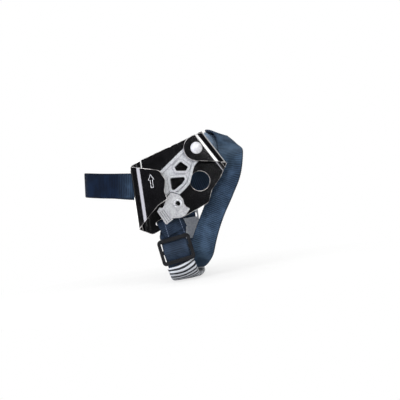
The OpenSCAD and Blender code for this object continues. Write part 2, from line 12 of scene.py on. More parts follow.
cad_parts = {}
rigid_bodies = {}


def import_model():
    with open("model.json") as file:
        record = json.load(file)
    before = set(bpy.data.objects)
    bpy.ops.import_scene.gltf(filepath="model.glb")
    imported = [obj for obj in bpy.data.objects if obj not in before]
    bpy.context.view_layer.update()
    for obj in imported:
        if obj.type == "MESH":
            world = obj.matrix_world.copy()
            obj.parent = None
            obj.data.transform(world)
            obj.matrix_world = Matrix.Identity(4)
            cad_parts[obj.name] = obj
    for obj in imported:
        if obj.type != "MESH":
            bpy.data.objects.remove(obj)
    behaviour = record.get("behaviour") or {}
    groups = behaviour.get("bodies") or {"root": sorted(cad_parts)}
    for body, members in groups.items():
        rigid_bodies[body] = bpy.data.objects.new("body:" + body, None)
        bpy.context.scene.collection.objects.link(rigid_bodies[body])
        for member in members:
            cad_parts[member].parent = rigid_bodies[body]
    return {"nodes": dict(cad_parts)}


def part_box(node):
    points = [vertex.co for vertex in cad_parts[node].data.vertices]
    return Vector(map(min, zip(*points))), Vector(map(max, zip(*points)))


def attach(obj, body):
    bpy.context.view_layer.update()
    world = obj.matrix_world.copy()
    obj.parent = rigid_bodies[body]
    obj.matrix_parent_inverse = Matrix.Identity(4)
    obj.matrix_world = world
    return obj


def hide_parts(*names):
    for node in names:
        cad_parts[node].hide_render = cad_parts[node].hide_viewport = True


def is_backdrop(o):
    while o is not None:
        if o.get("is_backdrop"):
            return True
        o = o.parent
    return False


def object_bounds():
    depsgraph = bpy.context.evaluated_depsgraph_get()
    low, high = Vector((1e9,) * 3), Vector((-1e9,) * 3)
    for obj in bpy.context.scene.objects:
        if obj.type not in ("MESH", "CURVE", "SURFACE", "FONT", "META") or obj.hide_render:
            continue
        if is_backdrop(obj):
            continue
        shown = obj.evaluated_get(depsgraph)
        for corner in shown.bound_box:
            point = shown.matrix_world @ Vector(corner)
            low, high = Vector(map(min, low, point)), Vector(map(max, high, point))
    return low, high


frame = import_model()
nodes = frame["nodes"]
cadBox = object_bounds()
mm = 0.001


# Small helpers

def select(*things):
    bpy.ops.object.select_all(action="DESELECT")
    for thing in things:
        thing.select_set(True)
    bpy.context.view_layer.objects.active = things[0]


def pickVerts(thing, wanted):
    select(thing)
    bpy.ops.object.mode_set(mode="EDIT")
    bpy.ops.mesh.select_all(action="DESELECT")
    bpy.ops.object.mode_set(mode="OBJECT")
    for vertex in thing.data.vertices:
        vertex.select = wanted(vertex.co)


def linear(hexColour):  # an sRGB colour as linear red, green, blue and alpha
    parts = [int(hexColour[i:i + 2], 16) / 255 for i in (1, 3, 5)]
    return (*[c / 12.92 if c <= 0.04045 else ((c + 0.055) / 1.055) ** 2.4 for c in parts], 1)


def setInputs(tree, node, inputs):  # each input is a plain value, or a socket to link from
    for socket, value in inputs.items():
        if isinstance(value, bpy.types.NodeSocket):
            tree.links.new(value, node.inputs[socket])
        else:
            node.inputs[socket].default_value = value


# In a Mix node that blends colours, inputs 6 and 7 are the two colours and output 2 is the blend
def addNode(tree, kind, inputs=None, **settings):
    node = tree.nodes.new("ShaderNode" + kind)
    for name, value in settings.items():
        setattr(node, name, value)
    setInputs(tree, node, inputs or {})
    return node


def newFinish(name, inputs):  # inputs of its Principled shader
    finish = bpy.data.materials.new(name)
    finish.use_nodes = True
    shader = finish.node_tree.nodes["Principled BSDF"]
    setInputs(finish.node_tree, shader, inputs)
    return finish, finish.node_tree, shader


# Camera: a long lens nearly square to the plate, rolled so that the rope leans

cameraLook = {
    "place": (0.0409, -0.737, -0.0086),
    "toPlate": 0.73,  # from the lens to the front of the plate
    "near": 0.01,
    "lens": 85,
    "sensor": 36,
    "roll": 8.5,  # degrees
}


def addCamera():
    bpy.ops.object.camera_add(
        location=cameraLook["place"], rotation=(math.radians(90), math.radians(cameraLook["roll"]), 0))
    camera = bpy.context.object
    camera.data.lens = cameraLook["lens"]
    camera.data.sensor_width = cameraLook["sensor"]
    camera.data.sensor_fit = "AUTO"
    camera.data.clip_start = cameraLook["near"]
    bpy.context.scene.camera = camera
    bpy.context.view_layer.update()
    return camera


camera = addCamera()

# Points in the photograph, 400 by 400: edges by one coordinate, features by two
imagePoints = {
    "left": (84.5, None),
    "right": (240.5, None),
    "top": (None, 129),
    "bottom": (None, 281.5),
    "rivet": (196.5, 148.4),
    "cordHole": (178.1, 203.4),
    "plateHoleBottom": (201, 190.5),
    "padTip": (166.5, 225.1),
    "catchToe": (189.6, 208),
    "arrowTip": (150.3, 173.9),
    "seamTop": (179.6, 219.5),
    "seamFoot": (184.2, 231.5),
    "leftSeamTop": (165.0, 224.5),
    "leftSeamFoot": (168.5, 236.0),
    "tackTop": (211.8, 142.8),
    "tackFoot": (214.6, 149.4),
}
frameSize = 400


def rayThrough(x, y):
    data = camera.data
    away = Vector((x - frameSize / 2, frameSize / 2 - y, -frameSize * data.lens / data.sensor_width))
    return camera.matrix_world.translation, (camera.matrix_world.to_3x3() @ away).normalized()


def placeOn(carriers, x, y):  # the first surface behind a point of the photograph, or the nearest one
    graph = bpy.context.evaluated_depsgraph_get()
    start, along = rayThrough(x, y)
    trees = [BVHTree.FromObject(carrier, graph) for carrier in carriers]
    hits = [hit for hit in (tree.ray_cast(start, along) for tree in trees) if hit[0] is not None]
    if not hits:
        near = start + along * cameraLook["toPlate"]
        hits = [tree.find_nearest(near) for tree in trees]
        hits = [(point, normal, index, (point - near).length) for point, normal, index, _ in hits]
    point, normal, _, _ = min(hits, key=lambda hit: hit[3])
    return point, normal


def inPhoto(point):
    local = camera.matrix_world.inverted() @ Vector(point)
    scale = frameSize * camera.data.lens / camera.data.sensor_width / -local.z
    return frameSize / 2 + local.x * scale, frameSize / 2 - local.y * scale


bpy.context.scene.view_settings.view_transform = "Standard"
print("camera set")


# Light: tall soft boxes beside the camera, so black metal shows one clean streak

lamps = {
    "leftBox": {"place": (-0.52, -0.62, 0.02), "size": (0.42, 0.80), "power": 8.0, "roll": 0,
                "tint": "#f3f3ff"},
    "rightStrip": {"place": (0.385, -0.85, 0.225), "size": (0.60, 0.15), "power": 4.0, "roll": 29.5},
    "frontBox": {"place": (0.05, -0.80, 0.72), "size": (0.80, 0.30), "power": 6.0, "roll": 0},
    "topBox": {"place": (0.05, -0.10, 0.90), "size": (0.8, 0.8), "power": 4.0, "roll": 0},
    "rearLeft": {"place": (-0.40, 0.90, 0.10), "size": (0.35, 0.9), "power": 4.0, "roll": 0},
    "rearRight": {"place": (0.75, 0.70, 0.25), "size": (0.4, 0.8), "power": 2.0, "roll": 0},
}


def addLamps():
    middle = (Vector(cadBox[0]) + Vector(cadBox[1])) / 2
    for name, lamp in lamps.items():
        place = Vector(lamp["place"])
        turn = (place - middle).to_track_quat("Z", "Y")
        turn = turn @ Quaternion((0, 0, 1), math.radians(lamp["roll"]))
        bpy.ops.object.light_add(type="AREA", location=place, rotation=turn.to_euler())
        light = bpy.context.object
        light.name = name
        light.visible_camera = False
        light.data.shape = "RECTANGLE"
        light.data.size, light.data.size_y = lamp["size"]
        light.data.energy = lamp["power"]
        light.data.color = linear(lamp.get("tint", "#ffffff"))[:3]


roomLook = {
    "front": 0.035,  # strength where the front of the object mirrors the room
    "back": 1.0,
    "turn": (0.5, 0.8),  # it grows between these two, where 1 is straight back
    "seen": 1.0,  # white to the camera
}


def addWorld():
    world = bpy.data.worlds.new("studio")
    bpy.context.scene.world = world
    world.use_nodes = True
    tree = world.node_tree
    direction = addNode(tree, "TexCoord").outputs["Generated"]
    depth = addNode(tree, "SeparateXYZ", {0: direction}).outputs["Y"]
    room = addNode(tree, "MapRange", {
        "Value": depth, "From Min": roomLook["turn"][0], "From Max": roomLook["turn"][1],
        "To Min": roomLook["front"], "To Max": roomLook["back"]})
    seen = addNode(tree, "LightPath").outputs["Is Camera Ray"]
    level = addNode(tree, "Mix", {"Factor": seen, "A": room.outputs[0], "B": roomLook["seen"]})
    setInputs(tree, tree.nodes["Background"], {"Color": linear("#ffffff"), "Strength": level.outputs[0]})


floorLook = {
    "colour": "#f2f2f0",
    "rough": 0.9,
    "size": (4, 3),
    "back": 1.32,  # it ends just in front of the object, so black metal mirrors no floor
    "below": 0.6 * mm,
    "centre": (0, 0.05, 0),
    "shadow": (0.08, 0.22),  # between these distances from the centre the floor turns white
    "white": (0.7, 1.0),  # how white it is to the camera at each of them
}


def addFloor():
    finish, tree, shader = newFinish(
        "palePaperFloor", {"Base Color": linear(floorLook["colour"]), "Roughness": floorLook["rough"]})
    glow = addNode(tree, "Emission", {"Color": linear("#ffffff"), "Strength": 1.0})
    seen = addNode(tree, "LightPath").outputs["Is Camera Ray"]
    place = addNode(tree, "TexCoord").outputs["Object"]
    far = addNode(tree, "VectorMath", {0: place, 1: floorLook["centre"]}, operation="DISTANCE")
    white = addNode(tree, "MapRange", {
        "Value": far.outputs["Value"],
        "From Min": floorLook["shadow"][0], "From Max": floorLook["shadow"][1],
        "To Min": floorLook["white"][0], "To Max": floorLook["white"][1]})
    amount = addNode(tree, "Math", {0: seen, 1: white.outputs[0]}, operation="MULTIPLY")
    mixed = addNode(tree, "MixShader", {0: amount.outputs[0], 1: shader.outputs[0], 2: glow.outputs[0]})
    setInputs(tree, tree.nodes["Material Output"], {"Surface": mixed.outputs[0]})
    bpy.ops.mesh.primitive_plane_add(size=1, location=(0, 0, cadBox[0][2] - floorLook["below"]))
    floor = bpy.context.object
    floor.name = "floor"
    bpy.ops.object.mode_set(mode="EDIT")
    bpy.ops.transform.resize(value=(*floorLook["size"], 1))
    bpy.ops.transform.translate(value=(0, floorLook["back"], 0))
    bpy.ops.object.mode_set(mode="OBJECT")
    floor.data.materials.append(finish)
    floor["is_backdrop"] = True


addLamps()
addWorld()
addFloor()
print("light and floor set")


# Finishes. A pair such as pale, worn or faded says at which values of a pattern, which runs
# from 0 to 1, that change starts and is full; bump is the strength of the relief

mostNoise = (0.3, 0.7)  # nearly all of a noise pattern lies between these


# Metals and mouldings

def brokenGloss(tree, shader, patch, rough):  # the roughness wanders between two values, patch by patch
    place = addNode(tree, "TexCoord").outputs["Object"]
    patches = addNode(tree, "TexNoise", {"Vector": place, "Scale": 1 / patch, "Detail": 4}).outputs["Fac"]
    spread = addNode(tree, "MapRange", {
        "Value": patches, "From Min": mostNoise[0], "From Max": mostNoise[1],
        "To Min": rough[0], "To Max": rough[1]})
    setInputs(tree, shader, {"Roughness": spread.outputs[0]})
    return place, patches


anodisedLook = {
    "colours": ("#040405", "#0b0b0e"),
    "ior": 1.85,
    "patch": 6 * mm,
    "rough": (0.085, 0.14),
    "grain": 0.5 * mm,
    "relief": 0.05 * mm,
    "bump": 0.05,
}


def blackAnodised():  # glossy oxide film over rolled sheet: black, one sharp highlight
    finish, tree, shader = newFinish("blackAnodisedAluminium", {"IOR": anodisedLook["ior"]})
    place, patches = brokenGloss(tree, shader, anodisedLook["patch"], anodisedLook["rough"])
    dark, light = map(linear, anodisedLook["colours"])
    colour = addNode(tree, "Mix", {0: patches, 6: dark, 7: light}, data_type="RGBA").outputs[2]
    grain = addNode(tree, "TexNoise", {"Vector": place, "Scale": 1 / anodisedLook["grain"], "Detail": 2})
    bump = addNode(tree, "Bump", {
        "Height": grain.outputs["Fac"],
        "Strength": anodisedLook["bump"], "Distance": anodisedLook["relief"]})
    setInputs(tree, shader, {"Base Color": colour, "Normal": bump.outputs[0]})
    return finish


cutEdgeLook = {
    # pale grey: partly bare metal, partly a painted highlight along the plate's edges
    "colours": ("#4a4847", "#e2dedb"),
    "metal": 0.3,  # partly oxide, partly bare
    "patch": 2.5 * mm,
    "rough": (0.25, 0.5),
    "wear": 7 * mm,  # size of the places where the film still holds
    "worn": (0.40, 0.60),
}


def bareEdgeAndHighlight():  # sheared edge, warm light grey: partly bare metal where the film is worn off, partly a painted highlight along the edge
    finish, tree, shader = newFinish("bareCutEdgeAndHighlight", {"Metallic": cutEdgeLook["metal"]})
    place, _ = brokenGloss(tree, shader, cutEdgeLook["patch"], cutEdgeLook["rough"])
    wear = addNode(tree, "TexNoise", {"Vector": place, "Scale": 1 / cutEdgeLook["wear"], "Detail": 6})
    amount = addNode(tree, "MapRange", {
        "Value": wear.outputs["Fac"],
        "From Min": cutEdgeLook["worn"][0], "From Max": cutEdgeLook["worn"][1]})
    dark, light = map(linear, cutEdgeLook["colours"])
    colour = addNode(tree, "Mix", {0: amount.outputs[0], 6: dark, 7: light}, data_type="RGBA").outputs[2]
    setInputs(tree, shader, {"Base Color": colour})
    return finish


castingLook = {
    "metal": 0.85,
    "patch": 3 * mm,
    "speck": 0.9 * mm,
    "pale": (0.32, 0.62),
    "stain": "#8b8d90",
    "stained": (0.52, 0.72),
    "stainMost": 0.4,
    # painted shade: the tint that darkens the corners
    "darkTint": "#2c2d30",  # lies in the corners
    "unshaded": (0.35, 0.88),  # here the pattern is how open a spot is
    "relief": 0.08 * mm,
    "bump": 0.4,
}


def castSteel(name, colours, rough, corner):  # tumbled casting: pale satin, with painted shade darkening its corners
    look = castingLook
    finish, tree, shader = newFinish(name, {"Metallic": look["metal"]})
    place, patches = brokenGloss(tree, shader, look["patch"], rough)
    speck = addNode(tree, "TexNoise", {
        "Vector": place, "Scale": 1 / look["speck"], "Detail": 4}).outputs["Fac"]
    pale = addNode(tree, "MapRange", {
        "Value": speck, "From Min": look["pale"][0], "From Max": look["pale"][1]})
    dark, light = map(linear, colours)
    colour = addNode(tree, "Mix", {0: pale.outputs[0], 6: dark, 7: light}, data_type="RGBA").outputs[2]
    stain = addNode(tree, "MapRange", {
        "Value": patches, "From Min": look["stained"][0], "From Max": look["stained"][1],
        "To Max": look["stainMost"]})
    colour = addNode(tree, "Mix", {
        0: stain.outputs[0], 6: colour, 7: linear(look["stain"])}, data_type="RGBA").outputs[2]
    # painted shade: where ambient occlusion finds a corner, the colour turns to the dark tint
    exposed = addNode(tree, "AmbientOcclusion", {"Distance": corner}, samples=8).outputs["AO"]
    unshaded = addNode(tree, "MapRange", {
        "Value": exposed, "From Min": look["unshaded"][0], "From Max": look["unshaded"][1]})
    colour = addNode(tree, "Mix", {
        0: unshaded.outputs[0], 6: linear(look["darkTint"]), 7: colour}, data_type="RGBA").outputs[2]
    bump = addNode(tree, "Bump", {
        "Height": speck, "Strength": look["bump"], "Distance": look["relief"]})
    setInputs(tree, shader, {"Base Color": colour, "Normal": bump.outputs[0]})
    return finish


turnedLook = {
    "dull": (0.72, 0.72, 0.73, 1),  # the dull places, as shares of the colour
    "patch": 1.5 * mm,
    "bright": (0.35, 0.65),
    "ring": 0.3 * mm,
    "relief": 0.03 * mm,
    "bump": 0.08,
}


def turnedSteel(name, colour, rough, metal=1.0):  # turned and polished, fine rings
    finish, tree, shader = newFinish(name, {"Metallic": metal})
    place, patches = brokenGloss(tree, shader, turnedLook["patch"], rough)
    bright = addNode(tree, "MapRange", {
        "Value": patches, "From Min": turnedLook["bright"][0], "From Max": turnedLook["bright"][1]})
    light = linear(colour)
    dark = [part * share for part, share in zip(light, turnedLook["dull"])]
    shaded = addNode(tree, "Mix", {0: bright.outputs[0], 6: dark, 7: light}, data_type="RGBA").outputs[2]
    rings = addNode(tree, "TexNoise", {"Vector": place, "Scale": 1 / turnedLook["ring"], "Detail": 1})
    bump = addNode(tree, "Bump", {
        "Height": rings.outputs["Fac"], "Strength": turnedLook["bump"], "Distance": turnedLook["relief"]})
    setInputs(tree, shader, {"Base Color": shaded, "Normal": bump.outputs[0]})
    return finish


mouldedLook = {"ior": 1.3, "patch": 2 * mm, "grain": 0.4 * mm, "relief": 0.06 * mm, "bump": 0.2}


def mouldedBlack(name, colour, rough):  # satin moulded plastic or rubber, fine grain
    finish, tree, shader = newFinish(name, {"Base Color": linear(colour), "IOR": mouldedLook["ior"]})
    place, _ = brokenGloss(tree, shader, mouldedLook["patch"], rough)
    grain = addNode(tree, "TexNoise", {"Vector": place, "Scale": 1 / mouldedLook["grain"], "Detail": 3})
    bump = addNode(tree, "Bump", {
        "Height": grain.outputs["Fac"], "Strength": mouldedLook["bump"], "Distance": mouldedLook["relief"]})
    setInputs(tree, shader, {"Normal": bump.outputs[0]})
    return finish


# Webbing: ribs run across the strap, yarns cross them; UV is metres along and across

webbing = {
    "width": 20 * mm,
    "thick": 1.6 * mm,
    "edge": 0.5,  # rounding at each side, as a share of the thickness
    "rib": 1.5 * mm,  # pitch of the weft ribs
    "yarn": 0.9 * mm,  # drawn twice as coarse as real, or it would not show
    "shift": 0.5,  # how far every other rib moves its yarns along, as a share of their pitch
    "relief": 0.09 * mm,
    "selvedge": 0.2 * mm,  # the ribs stand out sideways in this much at each side
    "wander": 0.12 * mm,  # how far it strays from its route, in waves as long as the next value
    "wave": 14 * mm,
    "smooth": 60,  # degrees
}


def weave(tree, rib, yarn, shift):  # waves from -1 to 1 that follow the ribs and the yarns
    place = addNode(tree, "UVMap", uv_map="weave").outputs[0]
    parts = addNode(tree, "SeparateXYZ", {0: place})
    row = addNode(tree, "Math", {0: parts.outputs["X"], 1: rib}, operation="DIVIDE").outputs[0]
    moved = row
    for operation, amount in (("ADD", 0.5), ("FLOOR", 0), ("MODULO", 2), ("MULTIPLY", shift)):
        moved = addNode(tree, "Math", {0: moved, 1: amount}, operation=operation).outputs[0]
    column = addNode(tree, "Math", {0: parts.outputs["Y"], 1: yarn}, operation="DIVIDE").outputs[0]
    column = addNode(tree, "Math", {0: column, 1: moved}, operation="ADD").outputs[0]
    waves = []
    for count in (row, column):
        turn = addNode(tree, "Math", {0: count, 1: 2 * math.pi}, operation="MULTIPLY").outputs[0]
        waves.append(addNode(tree, "Math", {0: turn}, operation="COSINE").outputs[0])
    return place, parts.outputs["Y"], *waves


def sumOf(tree, *shares):  # adds up patterns, each by its share
    total = 0.0
    for value, share in shares:
        total = addNode(tree, "Math", {0: value, 1: share, 2: total}, operation="MULTIPLY_ADD").outputs[0]
    return total


# A strap's tone attribute is below 0 where it is darker, with painted shade and melted dark cut ends, and
# above 0 where it is lighter, with painted light
def toneDarkened(tree, colour, darkTint):
    tone = addNode(tree, "Attribute", attribute_name="tone").outputs["Fac"]
    amount = addNode(tree, "MapRange", {"Value": tone, "From Min": 0.0, "From Max": -1.0}).outputs[0]
    shaded = addNode(tree, "Mix", {
        0: amount, 6: colour, 7: linear(darkTint)}, data_type="RGBA", blend_type="MULTIPLY").outputs[2]
    return shaded, tone


webbingLook = {
    "ior": 1.35,
    "rough": 0.8,
    "specular": 0.2,
    "sheen": 0.03,
    "sheenRough": 0.45,
    "sheenTint": "#8fa8c8",
    "streak": (0.9 * mm, 9 * mm),  # size of the fibre streaks, along and across
    "ribs": 0.6,  # shares of the height
    "yarns": 0.25,
    "streaks": 0.5,
    "pale": (-0.6, 1.0),  # here the pattern is that height
    "patch": 9 * mm,
    "faded": (0.42, 0.66),
    "fadedMost": 0.55,
    "selvedge": (8.9 * mm, 9.6 * mm),  # the weave darkens between these distances from the centre line
    "selvedgeMost": 0.55,
    # the dark tint carries painted shade and the melted cut ends, the next colour painted light
    "darkTint": "#3f5d79",
    "paintedLight": "#65717e",
    "relief": 0.14 * mm,
    "bump": 0.7,
}


def wovenWebbing(name, valley, crown, faded):
    # woven polyester: dull, ribbed, paler on the rib crowns and where it has faded
    look = webbingLook
    finish, tree, shader = newFinish(name, {
        "Roughness": look["rough"], "IOR": look["ior"], "Specular IOR Level": look["specular"],
        "Sheen Weight": look["sheen"], "Sheen Roughness": look["sheenRough"],
        "Sheen Tint": linear(look["sheenTint"])})
    place, across, ribs, yarns = weave(tree, webbing["rib"], webbing["yarn"], webbing["shift"])
    stretch = addNode(tree, "Mapping", {
        "Vector": place, "Scale": (1 / look["streak"][0], 1 / look["streak"][1], 1)}).outputs[0]
    streaks = addNode(tree, "TexNoise", {"Vector": stretch, "Scale": 1.0, "Detail": 3}).outputs["Fac"]
    height = sumOf(tree, (ribs, look["ribs"]), (yarns, look["yarns"]), (streaks, look["streaks"]))
    pale = addNode(tree, "MapRange", {
        "Value": height, "From Min": look["pale"][0], "From Max": look["pale"][1]})
    colour = addNode(tree, "Mix", {
        0: pale.outputs[0], 6: linear(valley), 7: linear(crown)}, data_type="RGBA").outputs[2]
    place = addNode(tree, "TexCoord").outputs["Object"]
    uneven = addNode(tree, "TexNoise", {
        "Vector": place, "Scale": 1 / look["patch"], "Detail": 3}).outputs["Fac"]
    fade = addNode(tree, "MapRange", {
        "Value": uneven, "From Min": look["faded"][0], "From Max": look["faded"][1],
        "To Max": look["fadedMost"]})
    colour = addNode(tree, "Mix", {
        0: fade.outputs[0], 6: colour, 7: linear(faded)}, data_type="RGBA").outputs[2]
    edge = addNode(tree, "Math", {0: across}, operation="ABSOLUTE").outputs[0]
    selvedge = addNode(tree, "MapRange", {
        "Value": edge, "From Min": look["selvedge"][0], "From Max": look["selvedge"][1],
        "To Max": look["selvedgeMost"]})
    colour = addNode(tree, "Mix", {
        0: selvedge.outputs[0], 6: colour, 7: linear(valley)}, data_type="RGBA").outputs[2]
    # darker or lighter by the tone: painted shade and painted light, and the melted cut ends
    colour, tone = toneDarkened(tree, colour, look["darkTint"])
    paintedLit = addNode(tree, "MapRange", {"Value": tone}).outputs[0]
    colour = addNode(tree, "Mix", {
        0: paintedLit, 6: colour, 7: linear(look["paintedLight"])}, data_type="RGBA", blend_type="ADD").outputs[2]
    bump = addNode(tree, "Bump", {
        "Height": height, "Strength": look["bump"], "Distance": look["relief"]})
    setInputs(tree, shader, {"Base Color": colour, "Normal": bump.outputs[0]})
    return finish


stripeLook = {
    "colours": ("#0d1117", "#c3c7cc"),
    "ior": 1.45,
    "rough": 0.6,
    "stripe": 2.6 * mm,
    "yarn": 0.8 * mm,
    "fibre": 1.2 * mm,  # makes the edges of the stripes ragged
    "fibres": 0.35,  # its share beside the stripes'
    "white": (-0.05, 0.35),  # here the pattern is waves from -1 to 1
    # by the tone this darkens the stripes: painted shade under the arch
    "darkTint": "#aaaaac",
    "stripes": 0.5,  # shares of the height
    "yarns": 0.25,
    "relief": 0.15 * mm,
    "bump": 0.8,
}


def stripedSleeve():  # protective sleeve: white ribs across a black ground
    look = stripeLook
    finish, tree, shader = newFinish(
        "stripedWovenSleeve", {"Roughness": look["rough"], "IOR": look["ior"]})
    place, _, stripes, yarns = weave(tree, look["stripe"], look["yarn"], 0)
    fibres = addNode(tree, "TexNoise", {
        "Vector": place, "Scale": 1 / look["fibre"], "Detail": 3}).outputs["Fac"]
    ragged = sumOf(tree, (stripes, 1), (fibres, look["fibres"]))
    white = addNode(tree, "MapRange", {
        "Value": ragged, "From Min": look["white"][0], "From Max": look["white"][1]})
    dark, light = map(linear, look["colours"])
    colour = addNode(tree, "Mix", {0: white.outputs[0], 6: dark, 7: light}, data_type="RGBA").outputs[2]
    colour, _ = toneDarkened(tree, colour, look["darkTint"])
    height = sumOf(tree, (stripes, look["stripes"]), (yarns, look["yarns"]))
    bump = addNode(tree, "Bump", {
        "Height": height, "Strength": look["bump"], "Distance": look["relief"]})
    setInputs(tree, shader, {"Base Color": colour, "Normal": bump.outputs[0]})
    return finish


threadLook = {
    "colours": ("#2c3850", "#6d7c96"),
    "rough": 0.5,
    "ior": 1.5,
    "twist": 0.4 * mm,
    "relief": 0.1 * mm,
    "bump": 0.5,
}


def sewingThread():  # twisted polyester thread, a little glossier than the webbing
    finish, tree, shader = newFinish(
        "sewingThread", {"Roughness": threadLook["rough"], "IOR": threadLook["ior"]})
    place = addNode(tree, "TexCoord").outputs["Object"]
    twist = addNode(tree, "TexNoise", {
        "Vector": place, "Scale": 1 / threadLook["twist"], "Detail": 2}).outputs["Fac"]
    dark, light = map(linear, threadLook["colours"])
    colour = addNode(tree, "Mix", {0: twist, 6: dark, 7: light}, data_type="RGBA").outputs[2]
    bump = addNode(tree, "Bump", {
        "Height": twist, "Strength": threadLook["bump"], "Distance": threadLook["relief"]})
    setInputs(tree, shader, {"Base Color": colour, "Normal": bump.outputs[0]})
    return finish


inkLook = {"colours": ("#6f7074", "#c9cacd"), "rough": 0.55, "wear": 0.7 * mm, "full": (0.35, 0.6)}


def printedGrey():  # marking ink on the anodised flap, rubbed thin in places
    finish, tree, shader = newFinish("printedInk", {"Roughness": inkLook["rough"]})
    place = addNode(tree, "TexCoord").outputs["Object"]
    wear = addNode(tree, "TexNoise", {
        "Vector": place, "Scale": 1 / inkLook["wear"], "Detail": 3}).outputs["Fac"]
    full = addNode(tree, "MapRange", {
        "Value": wear, "From Min": inkLook["full"][0], "From Max": inkLook["full"][1]})
    dark, light = map(linear, inkLook["colours"])
    colour = addNode(tree, "Mix", {0: full.outputs[0], 6: dark, 7: light}, data_type="RGBA").outputs[2]
    setInputs(tree, shader, {"Base Color": colour})
    return finish


# Routes of the webbing: the same stops as in the part's source, in millimetres,
# each a point and the direction across the strap

size = {
    "channelOut": 9.5,
    "plate": 3,
    "skin": 0.3,  # gap between webbing and what it lies on
    "boot": 84,
    "heelReach": 52,
    "instepZ": 42,
    "archZ": 67,
    "axle": (44.1, 31.6),
    "edgeLeft": (0, -30.3),  # the ends of the plate's lower edge
    "edgeRight": (47.5, -11.6),
    "strapAlong": 17,  # from its left end to the middle of the strap's slot
    "slotBar": 4,  # height of the bar between the slot and that edge
    "slotSink": 0.9,  # how far below its top the middle of the loop's turn lies
    "slotTail": 2.6,  # how far the loop's legs reach below that middle
    "sliderTilt": 8,
    "sliderHeight": 21,
    "sliderBar": 3.2,
    "sliderThick": 2,
    "sliderSlack": 0.9,  # how far the strap stands off the bars
    "buckleLength": 25,
    "buckleBase": 1.5,  # thickness of its base
    "tieBar": 1.4,  # radius of the bar that the buckle's tab turns round
    "tieEnd": 2,  # from the buckle's upper end down to that bar
}
web = webbing["thick"] / mm
layer = web + size["skin"]
nearY = size["channelOut"] + size["skin"] + web / 2
farY = nearY + size["boot"]
midY = (nearY + farY) / 2
axleX, axleZ = size["axle"]
edgeDir = (Vector(size["edgeRight"]) - Vector(size["edgeLeft"])).normalized()
edgeDown = Vector((edgeDir.y, -edgeDir.x))
strapMid = Vector(size["edgeLeft"]) + size["strapAlong"] * edgeDir
slopeAcross = (edgeDir.x, 0, edgeDir.y)
sliderPlace = (16.6, nearY - 3.4, -44.5)
sliderStep = (size["sliderHeight"] - size["sliderBar"]) / 2
sliderWave = size["sliderThick"] / 2 + web / 2 + size["sliderSlack"]
sliderTurn = math.radians(size["sliderTilt"])
sliderAcross = (math.cos(sliderTurn), 0, math.sin(sliderTurn))
sliderBack = sliderPlace[1] + sliderWave
bucklePlace = (25, farY + 2.4, -28)
soleLow = -size["archZ"]


def belowEdge(drop, y):  # a point of the strap that hangs from the plate's lower edge
    at = strapMid + drop * edgeDown
    return at.x, y, at.y


def onSlider(down, out):  # a point beside the tilted slider
    return (sliderPlace[0] + down * math.sin(sliderTurn), sliderPlace[1] - out,
            sliderPlace[2] - down * math.cos(sliderTurn))


ankleRoute = [
    ((-14, nearY + 1.2, 10.8), (0.1, 0, 1)),
    ((0, nearY + 0.1, 8.8), (0.1, 0, 1)),
    ((14, nearY + 0.1, 6.8), (0.06, 0, 1)),
    ((28, nearY + 0.1, 6.2), (-0.06, 0, 1)),
    ((axleX - 2, nearY + 2.2, 8.4), (-0.25, -0.15, 1)),
    ((axleX + 8.5, nearY + 7.3, 14.5), (-0.6, -0.35, 0.8)),
    ((axleX + 15.5, nearY + 15, 26), (-0.75, -0.1, 0.6)),
    ((axleX + 17, nearY + 27, 36.5), (-0.78, 0, 0.62)),
    ((axleX + 17.5, midY, size["instepZ"]), (-0.9, 0, 0.43)),
    ((axleX + 17, farY - 25, 36.5), (-0.75, 0, 0.65)),
    ((axleX + 17, farY - 10, 27), (-0.75, -0.1, 0.6)),
    ((axleX + 11, farY - 1.5, 15.5), (-0.6, 0, 0.8)),
    ((axleX - 4, farY, 8.2), (-0.25, 0, 1)),
    ((20, farY, 6), (0, 0, 1)),
    ((-10, farY - 0.5, 9), (0.08, 0, 1)),
    ((-32, farY - 9, 13.5), (0.1, 0, 1)),
    ((-size["heelReach"] + 4.5, midY + 18, 16.5), (0.1, 0, 1)),
    ((-size["heelReach"] + web / 2, midY, 17.5), (0.1, 0, 1)),
    ((-size["heelReach"] + 4.5, midY - 18, 16.5), (0.1, 0, 1)),
    ((-32, nearY + 9, 13.5), (0.1, 0, 1)),
]

crossRoute = [
    ((axleX - 2, farY + layer, 9.5), (-0.35, 0, 1)),
    ((axleX + 13, farY + layer, 15.5), (-0.6, 0, 0.8)),
    ((axleX + 21.5, farY - 8, 27), (-0.75, -0.1, 0.6)),
    ((axleX + 23.5, farY - 25, 37.5), (-0.8, 0, 0.6)),
    ((axleX + 18.6, midY, size["instepZ"] + layer + 0.3), (-0.91, 0, 0.4)),
    ((axleX + 24, nearY + 25, 38.5), (-0.8, 0, 0.6)),
    ((axleX + 26.6, nearY + 6.5, 24.5), (-0.72, 0.45, 0.4)),
    ((axleX + 22.8, nearY + 2, 10.2), (-0.87, 0.32, 0.3)),
    ((axleX + 15.2, nearY + 1.8, -3.5), (-0.82, 0.32, 0.43)),
    ((axleX + 7.3, nearY + 2.5, -17.5), (-0.76, 0.5, 0.42)),
    ((axleX + 0.3, nearY + 3, -30.5), (-0.78, 0.45, 0.42)),
    ((axleX - 4.6, nearY + 4.4, -41), (-0.85, 0.3, 0.42)),
    ((axleX - 8.5, nearY + 8.5, 17 - size["archZ"]), (-0.95, 0, 0.3)),
    ((axleX - 13, nearY + 19, 9.5 - size["archZ"]), (-0.98, 0, 0.1)),
    ((axleX - 17, nearY + 32, 4.6 - size["archZ"]), (-1, 0, 0)),
    ((axleX - 18.5, midY + 4, 3.6 - size["archZ"]), (-1, 0, 0)),
]

# The strap passes the slider's middle bar in front, at 1, and its outer two behind, at -1
sliderSides = [(i, -1.25 if abs(i) > 4 else math.cos(math.radians(45 * i))) for i in range(-5, 6)]

